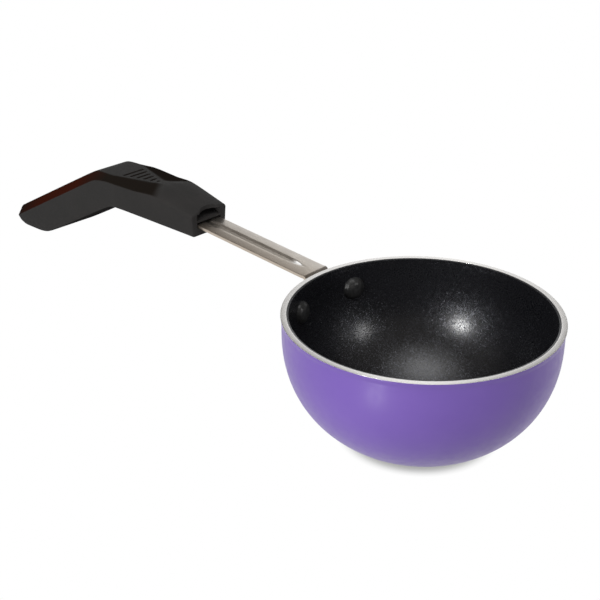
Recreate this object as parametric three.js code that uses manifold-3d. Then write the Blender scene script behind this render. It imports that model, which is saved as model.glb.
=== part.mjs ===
// Tadka pan: a small deep bowl for tempering spices, on a long steel strap with a bent moulded grip.
// Millimetres, +Z up. The origin is the centre of the flat underside, and the handle runs out along +X.

import * as THREE from "three";
import { mergeVertices } from "three/addons/utils/BufferGeometryUtils.js";
import Module from "manifold-3d";

const wasm = await Module();
wasm.setup();

// Bowl
const bowlHeight = 57.8;
const baseRadius = 25; // flat underside
const wallRadius = 59.2; // outside of the bare wall where it stands upright
const shoulderDrop = 8; // from the rim down to where the wall turns upright
const squareness = 2.2; // exponent of the wall's curve, where 2 is an ellipse
const wall = 2.3; // pressed sheet
const flareOut = 0.4; // lean of the wall's top, outwards
const flareHeight = 2.5;
const lipOut = 0.4; // bare lip past the flared wall
const lipHeight = 0.4;
const lipEdge = 0.25; // broken edges of the lip

// Coats
const paint = 0.3; // coloured coat outside
const lining = 0.3; // non-stick coat inside
const bond = 0.05; // clearance between a coat and the metal
const paintFoot = 0.4; // paint stops this far above the underside

// Strap and its riveted flange
const strapWidth = 15;
const strapThickness = 1.4;
const strapLift = 0.1; // top of the strap above the rim, at the rim
const strapRise = 4; // degrees
const strapReach = 72; // rim to the grip's mouth
const strapInGrip = 46;
const bendRadius = 1; // inside of the bend
const bendLap = 0.6; // upright stretch below the bend
const grooveStart = 9; // rim to the groove's round end
const grooveInGrip = 18;
const grooveWidth = 4;
const grooveDepth = 0.9;
const flangeLobe = 8; // radius round each rivet
const flangeFillet = 4; // at the neck
const seat = 0.1; // clearance between pieces that bear on each other

// Rivets
const rivetAngle = 18.15; // degrees to each side of the handle
const rivetDrop = 11.7; // rim to the rivets
const rivetRadius = 2.5;
const rivetHeadRadius = 5;
const rivetHeadHeight = 2.5;
const rivetTailRadius = 4.2;
const rivetTailHeight = 1.3;
const domeShare = 0.75; // height of a cap's dome against its radius
const capSunk = 2; // depth that a cap reaches into the face that trims it
const holeGap = 0.15;

// Grip
const gripLength = 147.1; // mouth to the far end, level
const gripHalf = 15.5; // half its width at the elbow
const endHalf = 14.7; // half its width at the far end
const mouthHalf = 11.6;
const mouthTaper = 54; // length over which the grip narrows to the mouth
const gripDraft = 1; // each side leans in by this towards the underside
const gripEdge = 1.2; // rounding of the lower edges
const mouthFloor = 4.3; // below the strap
const frontDepth = 17.15; // front arm, underside to thumb rest
const armFall = 28.3; // degrees, top of the rear arm
const underFall = 28.6; // degrees, underside of the rear arm
const elbowReach = 58.8; // mouth to the inner elbow
const elbowRound = 3;
const underRise = 2.1; // degrees, underside of the front arm
const peakReach = 73.4; // mouth to the top of the elbow
const peakRound = 2.5;
const frontFall = 11.9; // degrees, crown in front of the thumb rest down to the mouth
const frontLength = 27; // mouth to where the top turns level
const frontRound = 5;
const footDrop = 31.3; // underside at the mouth to the level foot of the rear arm
const heelRound = 2.7; // between the foot and the underside
const footRound = 11; // length of the foot's rounding up to the tip
const endRadius = 4;
const endCorner = 4; // rounding of the far end, seen from above

// Thumb rest and the long bevels beside it
const thumbHalf = 10.2; // half width of the flat top
const thumbTip = 35; // mouth to the tip of the flat top
const thumbLength = 26.5; // tip to its full width
const crownRise = 1.35; // crown above the thumb rest
const crestRise = 0.9; // side edges of the crown above the thumb rest
const crownEnd = 31; // mouth to where the crown's middle starts to sink to the thumb rest
const crownSink = 6.5; // length over which it sinks
const crownSlant = 0.75; // it sinks earlier by this share of the distance from its middle
const bevelDrop = 3.6; // fall of the bevels beside the thumb rest, at its full width
const bevelStart = 32; // mouth to where the bevels start
const bevelLength = 36;
const bevelShift = 4.5; // the bevels' lower edge turns down this far before the top does
const crownShare = 0.75; // height of the crown half way across, where 0.5 is flat
const bevelShare = 0.5;
const leastFlat = 2.4; // half width of the flat top at its tip
const ribCount = 6;
const ribPitch = 3.88;
const ribStart = 1.9; // tip of the flat top to the first rib groove
const ribWidth = 1.4;
const ribDepth = 0.6;
const ribBorder = 1.9; // plain edge beside the grooves

// Mouth of the grip
const fitGap = 0.3; // strap in its slot
const slotRoom = 1; // space above the strap
const webThickness = 0.9;
const pocketHeight = 3.2; // hollow above the web
const pocketDepth = 20;
const scoopRadius = 9;
const scoopDepth = 2.5;

// Screw from below that holds the strap in the grip
const screwReach = 30; // mouth to the screw
const screwRadius = 2;
const screwHeadRadius = 3.4;
const screwHeadHeight = 1.9;
const screwWall = 2.2; // grip material under the strap at the screw
const screwGrip = 5; // length above the strap
const screwSlot = 0.9; // width and depth of the driver slot

// Facets round a full turn
const bowlSides = 52;
const smallSides = 20;
const ribSides = 8;
const arcSteps = 6;
const ribSteps = 3;
const curveSteps = 8; // heights on the wall's curve
const flareSteps = 3; // heights on its lean
const gripSteps = 36; // stations along the grip

// Cutting
const holeReach = 20; // holes run from this far inside the rim to this far outside
const beyond = 500; // past the whole pan
const weld = 1e-5; // corners closer than this are one
const probe = 0.01; // height over which a slope is taken

const degrees = THREE.MathUtils.degToRad;
const rimRadius = wallRadius + flareOut + lipOut;
const rimInside = wallRadius + flareOut - wall;
const shoulder = bowlHeight - shoulderDrop;
const lipBottom = bowlHeight - lipHeight;
const flareBottom = lipBottom - flareHeight;
const rivetHeight = bowlHeight - rivetDrop;
const mouthX = rimRadius + strapReach;
const rise = degrees(strapRise);
const fall = degrees(armFall);

// Directions for outlines drawn from the side (x, z), from the front (y, z), and for turned shapes.
const fromSide = new THREE.Matrix4().makeBasis(
  new THREE.Vector3(1, 0, 0),
  new THREE.Vector3(0, 0, 1),
  new THREE.Vector3(0, -1, 0),
);
const fromFront = new THREE.Matrix4().makeBasis(
  new THREE.Vector3(0, 1, 0),
  new THREE.Vector3(0, 0, 1),
  new THREE.Vector3(1, 0, 0),
);
const upright = new THREE.Matrix4().makeRotationX(Math.PI / 2);

// The strap's own frame: origin on its top at the rim, x along it and z square to it.
const strapFrame = new THREE.Matrix4()
  .makeRotationY(-rise)
  .setPosition(rimRadius, 0, bowlHeight + strapLift);

// A closed geometry as a solid that can be cut and joined.
function solid(geometry, placement = new THREE.Matrix4()) {
  const bare = new THREE.BufferGeometry();
  bare.setAttribute("position", geometry.getAttribute("position").clone());
  bare.setIndex(geometry.index);
  const merged = mergeVertices(bare.applyMatrix4(placement), weld);
  return new wasm.Manifold(
    new wasm.Mesh({
      numProp: 3,
      vertProperties: merged.attributes.position.array,
      triVerts: new Uint32Array(merged.index.array),
    }),
  );
}

// A solid as a named mesh.
function piece(name, body, look) {
  const made = body.getMesh();
  const geometry = new THREE.BufferGeometry();
  geometry.setAttribute("position", new THREE.BufferAttribute(made.vertProperties, 3));
  geometry.setIndex(new THREE.BufferAttribute(made.triVerts, 1));
  geometry.computeVertexNormals();
  const mesh = new THREE.Mesh(geometry, new THREE.MeshStandardMaterial(look));
  mesh.name = name;
  return mesh;
}

// A flat outline pushed out to both sides of the plane that it is drawn in.
function plate(shape, depth, placement) {
  const pushed = new THREE.ExtrudeGeometry(shape, {
    depth,
    bevelEnabled: false,
    curveSegments: arcSteps,
  });
  return solid(pushed.translate(0, 0, -depth / 2), placement);
}

// A closed outline of radius and height, turned about the bowl's axis or about another upright axis.
function turned(points, sides, placement = upright) {
  return solid(new THREE.LatheGeometry(points, sides), placement);
}

// A round bar along z between two heights of a frame.
function bar(radius, low, high, frame) {
  const shape = new THREE.CylinderGeometry(radius, radius, high - low, smallSides);
  shape.applyMatrix4(upright).translate(0, 0, (low + high) / 2);
  return solid(shape, frame);
}

// A box between two corners of a frame.
function block(low, high, frame) {
  const size = high.clone().sub(low);
  const shape = new THREE.BoxGeometry(size.x, size.y, size.z);
  const middle = low.clone().add(high).multiplyScalar(0.5);
  return solid(shape.translate(middle.x, middle.y, middle.z), frame);
}

// Radius of the bare wall's outside at a height: a rounded side, and the lean of its top.
const curveDepth = shoulder / (1 - (baseRadius / wallRadius) ** squareness) ** (1 / squareness);
function curveAt(z) {
  const below = Math.max(shoulder - z, 0) / curveDepth;
  return wallRadius * (1 - below ** squareness) ** (1 / squareness);
}

function leanAt(z) {
  return flareOut * THREE.MathUtils.smoothstep(z, flareBottom, lipBottom);
}

// Heights that follow the wall, at even turns of its curve.
const wallHeights = [];
for (let i = 0; i <= curveSteps; i++) {
  const turn = THREE.MathUtils.lerp(Math.acos(shoulder / curveDepth), Math.PI / 2, i / curveSteps);
  wallHeights.push(shoulder - curveDepth * Math.cos(turn));
}
for (let i = 0; i <= flareSteps; i++) {
  wallHeights.push(flareBottom + (flareHeight * i) / flareSteps);
}
wallHeights.push(bowlHeight);

// The wall's outside moved outwards by a distance, as points that rise from one height to another.
function outline(out, low, high) {
  const moved = wallHeights.map((z) => {
    const slope = (curveAt(z + probe) - curveAt(z - probe)) / (2 * probe);
    const normal = new THREE.Vector2(1, -slope).normalize();
    return new THREE.Vector2(curveAt(z) + leanAt(z), z).addScaledVector(normal, out);
  });
  const at = (z) => {
    const next = Math.max(moved.findIndex((point) => point.y >= z), 1);
    const share = (z - moved[next - 1].y) / (moved[next].y - moved[next - 1].y);
    return new THREE.Vector2().lerpVectors(moved[next - 1], moved[next], share);
  };
  return [at(low), ...moved.filter((point) => point.y > low && point.y < high), at(high)];
}

// Bowl and its coats
const paintOut = bond + paint;
const liningIn = wall + bond + lining;
const paintTop = lipBottom - bond;
const liningTop = bowlHeight - lipEdge;

function bowlBody() {
  return turned(
    [
      new THREE.Vector2(0, 0),
      ...outline(0, 0, lipBottom),
      new THREE.Vector2(rimRadius, lipBottom),
      new THREE.Vector2(rimRadius, bowlHeight - lipEdge),
      new THREE.Vector2(rimRadius - lipEdge, bowlHeight),
      new THREE.Vector2(rimInside + lipEdge, bowlHeight),
      ...outline(-wall, wall, bowlHeight - lipEdge).reverse(),
      new THREE.Vector2(0, wall),
    ],
    bowlSides,
  );
}

function paintCoat() {
  const outside = outline(paintOut, paintFoot, paintTop);
  const inside = outline(bond, paintFoot, paintTop).reverse();
  return turned([...outside, ...inside, outside[0]], bowlSides);
}

function liningCoat() {
  return turned(
    [
      new THREE.Vector2(0, wall + bond),
      ...outline(-wall - bond, wall + bond, liningTop),
      ...outline(-liningIn, liningIn, liningTop).reverse(),
      new THREE.Vector2(0, liningIn),
    ],
    bowlSides,
  );
}

// Rivets: z of each rivet's frame points out from the bowl's axis.
const flangeIn = paintOut + seat;
const flangeOut = flangeIn + strapThickness;
const rivetSides = { left: 1, right: -1 };
function rivetFrame(side) {
  const angle = degrees(rivetAngle) * side;
  const out = new THREE.Vector3(Math.cos(angle), Math.sin(angle), 0);
  const up = new THREE.Vector3(0, 0, 1);
  return new THREE.Matrix4()
    .makeBasis(new THREE.Vector3().crossVectors(up, out), up, out)
    .setPosition(0, 0, rivetHeight);
}

// A domed cap along z: its foot reaches past the face it sits on, to be trimmed by that face.
function cap(radius, foot, crown, frame) {
  const profile = new THREE.Path();
  profile.moveTo(0, foot);
  profile.lineTo(radius, foot);
  profile.lineTo(radius, crown - Math.sign(crown - foot) * radius * domeShare);
  profile.quadraticCurveTo(radius, crown, 0, crown);
  const points = profile.getPoints(arcSteps);
  if (crown < foot) points.reverse();
  return turned(points, smallSides, new THREE.Matrix4().multiplyMatrices(frame, upright));
}

function rivet(side) {
  const frame = rivetFrame(side);
  const low = rivetHeight - 2 * rivetHeadRadius;
  const high = Math.min(rivetHeight + 2 * rivetHeadRadius, lipBottom);
  const inner = curveAt(rivetHeight) - liningIn - seat;
  const outer = curveAt(rivetHeight) + flangeOut + seat;
  const outwards = turned(
    [
      new THREE.Vector2(beyond, low),
      new THREE.Vector2(beyond, high),
      ...outline(-liningIn - seat, low, high).reverse(),
      new THREE.Vector2(beyond, low),
    ],
    bowlSides,
  );
  const inwards = turned(
    [new THREE.Vector2(0, low), ...outline(flangeOut + seat, low, high), new THREE.Vector2(0, high)],
    bowlSides,
  );
  const head = cap(rivetHeadRadius, inner + capSunk, inner - rivetHeadHeight, frame).subtract(outwards);
  const tail = cap(rivetTailRadius, outer - capSunk, outer + rivetTailHeight, frame).subtract(inwards);
  return bar(rivetRadius, inner - rivetHeadHeight / 2, outer + rivetTailHeight / 2, frame)
    .add(head)
    .add(tail);
}

function rivetHole(side) {
  return bar(rivetRadius + holeGap, rimRadius - holeReach, rimRadius + holeReach, rivetFrame(side));
}

function drilled(body) {
  return body.subtract(rivetHole(rivetSides.left)).subtract(rivetHole(rivetSides.right));
}

// Strap
const strapLength = (strapReach + strapInGrip) / Math.cos(rise);
const grooveEnd = (strapReach + grooveInGrip) / Math.cos(rise);
const grooveRadius = (grooveWidth ** 2 / 4 + grooveDepth ** 2) / (2 * grooveDepth);
const screwX = (strapReach + screwReach) / Math.cos(rise);
const screwFrame = new THREE.Matrix4().multiplyMatrices(
  strapFrame,
  new THREE.Matrix4().makeTranslation(screwX, 0, 0),
);

// Height of the strap's top at a distance from the bowl's axis.
function strapTop(x) {
  return bowlHeight + strapLift + Math.tan(rise) * (x - rimRadius);
}

// Everything over a height of the strap's frame.
function overStrap(z) {
  const near = new THREE.Vector3(0, -strapWidth, z);
  const far = new THREE.Vector3(beyond, strapWidth, beyond);
  return block(near, far, strapFrame);
}

// A round-ended bar along the groove, whose lowest line is at a depth below the strap's top.
function grooveBar(radius, depth) {
  const length = grooveEnd - grooveStart - grooveWidth;
  const shape = new THREE.CapsuleGeometry(radius, length, arcSteps, smallSides);
  shape.rotateZ(Math.PI / 2);
  shape.translate(grooveStart + grooveWidth / 2 + length / 2, 0, radius - depth);
  return solid(shape, strapFrame);
}

// Side view of the strap: up past the rim, round the bend and out along the rise.
const bendOut = bendRadius + strapThickness;
const bendX = rimRadius + seat + bendOut;
const bendZ = strapTop(bendX - bendOut * Math.sin(rise)) - bendOut * Math.cos(rise);
function strapSide() {
  const end = new THREE.Vector3(strapLength, 0, 0).applyMatrix4(strapFrame);
  const endBelow = new THREE.Vector3(strapLength, 0, -strapThickness).applyMatrix4(strapFrame);
  const shape = new THREE.Shape();
  shape.moveTo(bendX - bendOut, bendZ - bendLap);
  shape.lineTo(bendX - bendOut, bendZ);
  shape.absarc(bendX, bendZ, bendOut, Math.PI, Math.PI / 2 + rise, true);
  shape.lineTo(end.x, end.z);
  shape.lineTo(endBelow.x, endBelow.z);
  shape.absarc(bendX, bendZ, bendRadius, Math.PI / 2 + rise, Math.PI, false);
  shape.lineTo(bendX - bendRadius, bendZ - bendLap);
  return shape;
}

// Front view of the flange: a round lobe at each rivet and a neck up to the strap.
function flangeFront() {
  const rivetY = (curveAt(rivetHeight) + flangeIn) * Math.sin(degrees(rivetAngle));
  const neck = strapWidth / 2;
  const top = rivetHeight + flangeLobe;
  const shape = new THREE.Shape();
  shape.absarc(rivetY, rivetHeight, flangeLobe, -Math.PI / 2, Math.PI / 2);
  shape.absarc(neck + flangeFillet, top + flangeFillet, flangeFillet, -Math.PI / 2, -Math.PI, true);
  shape.absarc(-neck - flangeFillet, top + flangeFillet, flangeFillet, 0, -Math.PI / 2, true);
  shape.absarc(-rivetY, rivetHeight, flangeLobe, Math.PI / 2, 1.5 * Math.PI);
  return shape;
}

function strapBody() {
  const low = rivetHeight - 1.5 * flangeLobe;
  const outside = outline(flangeOut, low, bendZ);
  const inside = outline(flangeIn, low, bendZ).reverse();
  const hoop = turned([...outside, ...inside, outside[0]], bowlSides);
  const front = plate(flangeFront(), rimRadius, fromFront.clone().setPosition(rimRadius, 0, 0));
  const flange = drilled(hoop.intersect(front));
  const long = plate(strapSide(), strapWidth, fromSide);
  const bead = grooveBar(grooveRadius + strapThickness, grooveDepth + strapThickness);
  return flange
    .add(long)
    .add(bead.subtract(overStrap(-strapThickness / 2)))
    .subtract(grooveBar(grooveRadius, grooveDepth))
    .subtract(bar(screwRadius + holeGap, -2 * strapThickness, strapThickness, screwFrame));
}

// Grip
const gripUnder = strapTop(mouthX) - strapThickness - fitGap - mouthFloor;
const gripTop = gripUnder + frontDepth;
const gripEnd = mouthX + gripLength;
const elbowX = mouthX + elbowReach;
const peakX = mouthX + peakReach;
const footZ = gripUnder - footDrop;

// A rounded corner between two straight runs: near 0 before it, then rising one for one.
function ease(run, rounding) {
  return (run + Math.hypot(run, rounding)) / 2;
}

function undersideAt(x) {
  const past = ease(x - elbowX, elbowRound);
  const front = Math.tan(degrees(underRise)) * (x - mouthX - past);
  const slope = gripUnder + front - Math.tan(degrees(underFall)) * past;
  return footZ + ease(slope - footZ, heelRound);
}

// The top without its bends: level along the thumb rest and falling to the mouth.
function frontAt(x) {
  return gripTop - Math.tan(degrees(frontFall)) * ease(mouthX + frontLength - x, frontRound);
}

// Share of the crown beside the grip's middle, 1 at the mouth and 0 at the thumb rest.
function crownAt(x, y) {
  return 1 - THREE.MathUtils.smoothstep(x + crownSlant * y - mouthX, crownEnd, crownEnd + crownSink);
}

function topAt(x) {
  return frontAt(x) + crownRise * crownAt(x, flatAt(x)) - Math.tan(fall) * ease(x - peakX, peakRound);
}

// Lower edge of the bevels, which is also the upper edge of the sides.
function creaseAt(x) {
  const share = THREE.MathUtils.clamp((x - mouthX - bevelStart) / bevelLength, 0, 1);
  const rear = Math.tan(fall) * ease(x - peakX + bevelShift, peakRound);
  return frontAt(x) + crestRise - bevelDrop * share - rear;
}

// Half width of the flat top: a blunt arrowhead that points to the mouth.
function flatAt(x) {
  const share = THREE.MathUtils.clamp((x - mouthX - thumbTip) / thumbLength, 0, 1);
  return THREE.MathUtils.lerp(leastFlat, thumbHalf, share);
}

// Half width of the grip, which widens from the mouth to the elbow and narrows again to the far end.
function halfAt(x) {
  const front = THREE.MathUtils.clamp((x - mouthX) / mouthTaper, 0, 1);
  const rear = THREE.MathUtils.clamp((x - peakX) / (gripEnd - peakX), 0, 1);
  return mouthHalf + (gripHalf - mouthHalf) * front - (gripHalf - endHalf) * rear;
}

// Cross section at a distance from the bowl's axis, as points (y, z) that run round it once.
function gripSection(x) {
  const half = halfAt(x);
  const foot = half - gripDraft;
  const low = undersideAt(x);
  const high = topAt(x);
  const crease = creaseAt(x);
  const flat = flatAt(x);
  const brow = (half + flat) / 2;
  const crown = THREE.MathUtils.lerp(bevelShare, crownShare, crownAt(x, brow));
  const round = gripEdge * (1 - Math.SQRT1_2);
  const right = [
    new THREE.Vector2(foot - gripEdge, low),
    new THREE.Vector2(foot - round, low + round),
    new THREE.Vector2(foot, low + gripEdge),
    new THREE.Vector2(half, crease),
    new THREE.Vector2(brow, THREE.MathUtils.lerp(crease, high, crown)),
    new THREE.Vector2(flat, high),
  ];
  const left = right.map((point) => new THREE.Vector2(-point.x, point.y)).reverse();
  return [...right, ...left];
}

// Sections joined one after another along x, with flat ends.
function loft(stations, sectionAt) {
  const rows = stations.map(sectionAt);
  const count = rows[0].length;
  const corners = stations.flatMap((x, i) => rows[i].flatMap((point) => [x, point.x, point.y]));
  const faces = [];
  for (let i = 0; i + 1 < rows.length; i++) {
    for (let j = 0; j < count; j++) {
      const a = i * count + j;
      const b = i * count + ((j + 1) % count);
      faces.push(a, b, b + count, a, b + count, a + count);
    }
  }
  const last = (rows.length - 1) * count;
  for (let j = 1; j + 1 < count; j++) {
    faces.push(0, j + 1, j);
    faces.push(last, last + j, last + j + 1);
  }
  const geometry = new THREE.BufferGeometry();
  geometry.setAttribute("position", new THREE.Float32BufferAttribute(corners, 3));
  geometry.setIndex(faces);
  return solid(geometry);
}

// Side view of the far end: a level foot and a rounded tip, open towards the mouth.
function endSide() {
  const slack = 10; // degrees by which the outline stands clear of the grip's top
  const centreX = gripEnd - endRadius;
  const centreZ = gripTop - Math.tan(fall) * (centreX - peakX) - endRadius / Math.cos(fall);
  const away = fall + degrees(slack);
  const shape = new THREE.Shape();
  shape.moveTo(mouthX - gripLength, footZ);
  shape.lineTo(gripEnd - footRound, footZ);
  shape.absellipse(gripEnd - footRound, centreZ, footRound, centreZ - footZ, -Math.PI / 2, 0);
  shape.absarc(centreX, centreZ, endRadius, 0, Math.PI / 2 - fall);
  shape.lineTo(centreX - beyond * Math.cos(away), centreZ + beyond * Math.sin(away));
  return shape;
}

// Plan of the grip, with its far corners rounded.
function endPlan() {
  const wide = gripHalf + endCorner;
  const shape = new THREE.Shape();
  shape.moveTo(gripEnd - beyond, wide);
  shape.lineTo(gripEnd - beyond, -wide);
  shape.lineTo(gripEnd - endCorner, -wide);
  shape.lineTo(gripEnd - endCorner, -endHalf);
  shape.absarc(gripEnd - endCorner, -endHalf + endCorner, endCorner, -Math.PI / 2, 0);
  shape.absarc(gripEnd - endCorner, endHalf - endCorner, endCorner, 0, Math.PI / 2);
  shape.lineTo(gripEnd - endCorner, wide);
  return shape;
}

// Grooves across the thumb rest, each as long as the flat top is wide there.
function ribGrooves() {
  const grooves = [];
  for (let i = 0; i < ribCount; i++) {
    const x = mouthX + thumbTip + ribStart + i * ribPitch;
    const length = 2 * (flatAt(x) - ribBorder) - ribWidth;
    const shape = new THREE.CapsuleGeometry(ribWidth / 2, length, ribSteps, ribSides);
    grooves.push(solid(shape.translate(x, 0, topAt(x) + ribWidth / 2 - ribDepth)));
  }
  return grooves;
}

// The mouth: a slot for the strap, a thin web over it and a shallow hollow above the web.
function mouthCuts() {
  const half = strapWidth / 2 + fitGap;
  const mouth = strapReach / Math.cos(rise);
  const open = mouth - pocketDepth;
  const webLow = slotRoom;
  const webHigh = webLow + webThickness;
  const slot = block(
    new THREE.Vector3(open, -half, -strapThickness - fitGap),
    new THREE.Vector3(strapLength + fitGap, half, webLow),
    strapFrame,
  );
  const channel = grooveBar(grooveRadius + strapThickness + fitGap, grooveDepth + strapThickness + fitGap);
  const pocket = block(
    new THREE.Vector3(open, -half, webHigh),
    new THREE.Vector3(mouth + pocketDepth, half, webHigh + pocketHeight),
    strapFrame,
  );
  const scoop = bar(
    scoopRadius,
    strapTop(mouthX) + webHigh,
    gripTop + scoopRadius,
    new THREE.Matrix4().makeTranslation(mouthX - scoopRadius + scoopDepth, 0, 0),
  );
  return [slot, channel.subtract(overStrap(0)), pocket, scoop];
}

// Screw: its frame stands on the strap's top, with the head below.
const screwSeat = -strapThickness - fitGap - screwWall;
function screwBody() {
  const low = screwSeat - seat - screwHeadHeight;
  const shank = bar(screwRadius, low + screwHeadHeight / 2, screwGrip, screwFrame);
  const head = bar(screwHeadRadius, low, low + screwHeadHeight, screwFrame);
  const driver = block(
    new THREE.Vector3(-2 * screwHeadRadius, -screwSlot / 2, low - screwSlot),
    new THREE.Vector3(2 * screwHeadRadius, screwSlot / 2, low + screwSlot),
    screwFrame,
  );
  return shank.add(head).subtract(driver);
}

function screwCuts() {
  return [
    bar(screwHeadRadius + fitGap, screwSeat - frontDepth, screwSeat, screwFrame),
    bar(screwRadius + holeGap, screwSeat - screwHeadHeight, screwGrip + fitGap, screwFrame),
  ];
}

function gripBody() {
  const stations = [];
  for (let i = 0; i <= gripSteps; i++) {
    stations.push(mouthX + (gripLength * i) / gripSteps);
  }
  const whole = loft(stations, gripSection)
    .intersect(plate(endSide(), beyond, fromSide))
    .intersect(plate(endPlan(), beyond));
  const cuts = [...ribGrooves(), ...mouthCuts(), ...screwCuts()];
  return cuts.reduce((body, cut) => body.subtract(cut), whole);
}

const bareMetal = { color: 0xc4c0b8, roughness: 0.3, metalness: 1 };
const paintLook = { color: 0x6a4fb8, roughness: 0.35, metalness: 0 };
const liningLook = { color: 0x1c1c20, roughness: 0.45, metalness: 0.1 };
const steelLook = { color: 0xb4aca2, roughness: 0.35, metalness: 1 };
const gripLook = { color: 0x26211f, roughness: 0.4, metalness: 0 };
const screwLook = { color: 0x9c9a96, roughness: 0.4, metalness: 1 };

const bowl = new THREE.Group();
bowl.add(piece("bowl", drilled(bowlBody()), bareMetal));
bowl.add(piece("outer_paint", drilled(paintCoat()), paintLook));
bowl.add(piece("nonstick_lining", drilled(liningCoat()), liningLook));

const handle = new THREE.Group();
handle.add(piece("handle_strap", strapBody(), steelLook));
for (const [side, sign] of Object.entries(rivetSides)) {
  handle.add(piece("rivet_" + side, rivet(sign), liningLook));
}
handle.add(piece("grip", gripBody(), gripLook));
handle.add(piece("grip_screw", screwBody(), screwLook));

const pan = new THREE.Group();
pan.add(bowl, handle);

export default pan;
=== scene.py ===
import math

import bmesh
import bpy
from mathutils import Matrix, Vector


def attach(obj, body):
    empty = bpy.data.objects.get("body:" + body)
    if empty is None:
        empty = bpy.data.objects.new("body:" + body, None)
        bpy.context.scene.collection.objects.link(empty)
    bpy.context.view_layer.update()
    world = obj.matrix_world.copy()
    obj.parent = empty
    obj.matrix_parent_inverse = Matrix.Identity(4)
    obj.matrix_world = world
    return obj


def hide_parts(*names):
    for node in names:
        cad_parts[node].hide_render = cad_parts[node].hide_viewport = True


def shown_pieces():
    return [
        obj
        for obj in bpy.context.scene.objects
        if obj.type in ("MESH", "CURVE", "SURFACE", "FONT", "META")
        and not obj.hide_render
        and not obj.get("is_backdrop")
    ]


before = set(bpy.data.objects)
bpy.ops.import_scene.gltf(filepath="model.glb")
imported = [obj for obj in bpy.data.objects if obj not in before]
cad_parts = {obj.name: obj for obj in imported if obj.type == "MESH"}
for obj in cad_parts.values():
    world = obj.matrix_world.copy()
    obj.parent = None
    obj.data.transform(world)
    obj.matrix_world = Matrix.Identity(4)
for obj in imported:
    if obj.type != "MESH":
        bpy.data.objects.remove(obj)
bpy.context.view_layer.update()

# Bowl
# One disc of aluminium sheet, 2.3 mm thick, pressed to a deep bowl with a flat underside. The wall
# curves upright, leans out a little at its top and ends in a turned lip. Lip and underside stay bare
# and show their turning marks.
mm = 0.001
bowl_height = 57.8
base_radius = 25.0
upright_radius = 59.2
shoulder = 49.8
squareness = 2.2
sheet = 2.3
flare = 0.4
flare_low = 54.9
flare_high = 57.4
lip_low = 57.62
lip_radius = 60.0
lip_inside = 57.5
lip_edge = 0.10
lip_corner = 0.05
lip_fullness = 0.5
lip_steps = 24
bowl_sides = 240
turning_marks = (6.0, 10.0, 14.0, 18.0, 22.0)
mark_half = 0.45
mark_depth = 0.18
dimple_flat = 1.2
dimple_edge = 1.6
curve_depth = shoulder / (1 - (base_radius / upright_radius) ** squareness) ** (1 / squareness)


def clamped(value):
    """A value held between 0 and 1."""
    return min(max(value, 0), 1)


def soft_step(value, low, high):
    """0 below one value, 1 above another, and a smooth rise between them."""
    share = clamped((value - low) / (high - low))
    return share * share * (3 - 2 * share)


def curve_at(height):
    """Radius of the bare wall's outside at a height, without the lean of its top."""
    below = clamped((shoulder - height) / curve_depth)
    return upright_radius * (1 - below ** squareness) ** (1 / squareness)


def wall_at(height):
    """Radius of the bare wall's outside at a height."""
    return curve_at(height) + flare * soft_step(height, flare_low, flare_high)


def wall_line(out, low, high):
    """The wall's outside moved outwards by a distance, as (radius, height) points from low to high."""
    curve_steps, top_steps, probe = 56, 40, 0.01
    first = math.acos(shoulder / curve_depth)
    turns = [first + (math.pi / 2 - first) * step / curve_steps for step in range(curve_steps)]
    heights = [shoulder - curve_depth * math.cos(turn) for turn in turns]
    heights += [shoulder + (bowl_height - shoulder) * step / top_steps for step in range(top_steps + 1)]
    moved = []
    for height in heights:
        slope = (curve_at(height + probe) - curve_at(height - probe)) / (2 * probe)
        length = math.hypot(1, slope)
        moved.append((wall_at(height) + out / length, height - out * slope / length))

    def at(height):
        """The point of the moved line at a height."""
        upper = next(i for i, point in enumerate(moved) if point[1] >= height and i > 0)
        (r0, z0), (r1, z1) = moved[upper - 1], moved[upper]
        return r0 + (r1 - r0) * (height - z0) / (z1 - z0), height

    return [at(low)] + [point for point in moved if low < point[1] < high] + [at(high)]


def rounded_corner(before, corner, after, steps=4):
    """Points of a soft corner between two places on the sides that meet there."""
    points = []
    for step in range(steps + 1):
        t = step / steps
        points.append(tuple(
            (1 - t) ** 2 * a + 2 * t * (1 - t) * b + t ** 2 * c for a, b, c in zip(before, corner, after)
        ))
    return points


def turned(outline, sides):
    """A closed outline of (radius, height) points in mm, turned about the upright axis."""
    on_axis = 1e-6
    shape = bmesh.new()
    rings = []
    for radius, height in outline:
        count = sides if radius > on_axis else 1
        angles = [2 * math.pi * i / sides for i in range(count)]
        rings.append([
            shape.verts.new((radius * mm * math.cos(a), radius * mm * math.sin(a), height * mm))
            for a in angles
        ])
    for lower, upper in zip(rings, rings[1:] + rings[:1]):
        for i in range(max(len(lower), len(upper))):
            corners = [lower[i % len(lower)], lower[(i + 1) % len(lower)]]
            corners += [upper[(i + 1) % len(upper)], upper[i % len(upper)]]
            corners = list(dict.fromkeys(corners))
            if len(corners) > 2:
                shape.faces.new(corners)
    bmesh.ops.recalc_face_normals(shape, faces=shape.faces)
    return shape


def made(name, shape, sharp=35):
    """A mesh as an object in the scene, smooth apart from edges over an angle in degrees."""
    data = bpy.data.meshes.new(name)
    shape.to_mesh(data)
    shape.free()
    result = bpy.data.objects.new(name, data)
    bpy.context.scene.collection.objects.link(result)
    smooth(result, sharp)
    return result


def smooth(piece, sharp=35):
    """Shades a piece smooth apart from edges over an angle in degrees."""
    for polygon in piece.data.polygons:
        polygon.use_smooth = True
    piece.data.set_sharp_from_angle(angle=math.radians(sharp))


def settle(piece):
    """Makes the result of a piece's modifiers its mesh."""
    whole = piece.evaluated_get(bpy.context.evaluated_depsgraph_get())
    data = bpy.data.meshes.new_from_object(whole)
    piece.modifiers.clear()
    data.name = piece.name
    piece.data = data


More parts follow.
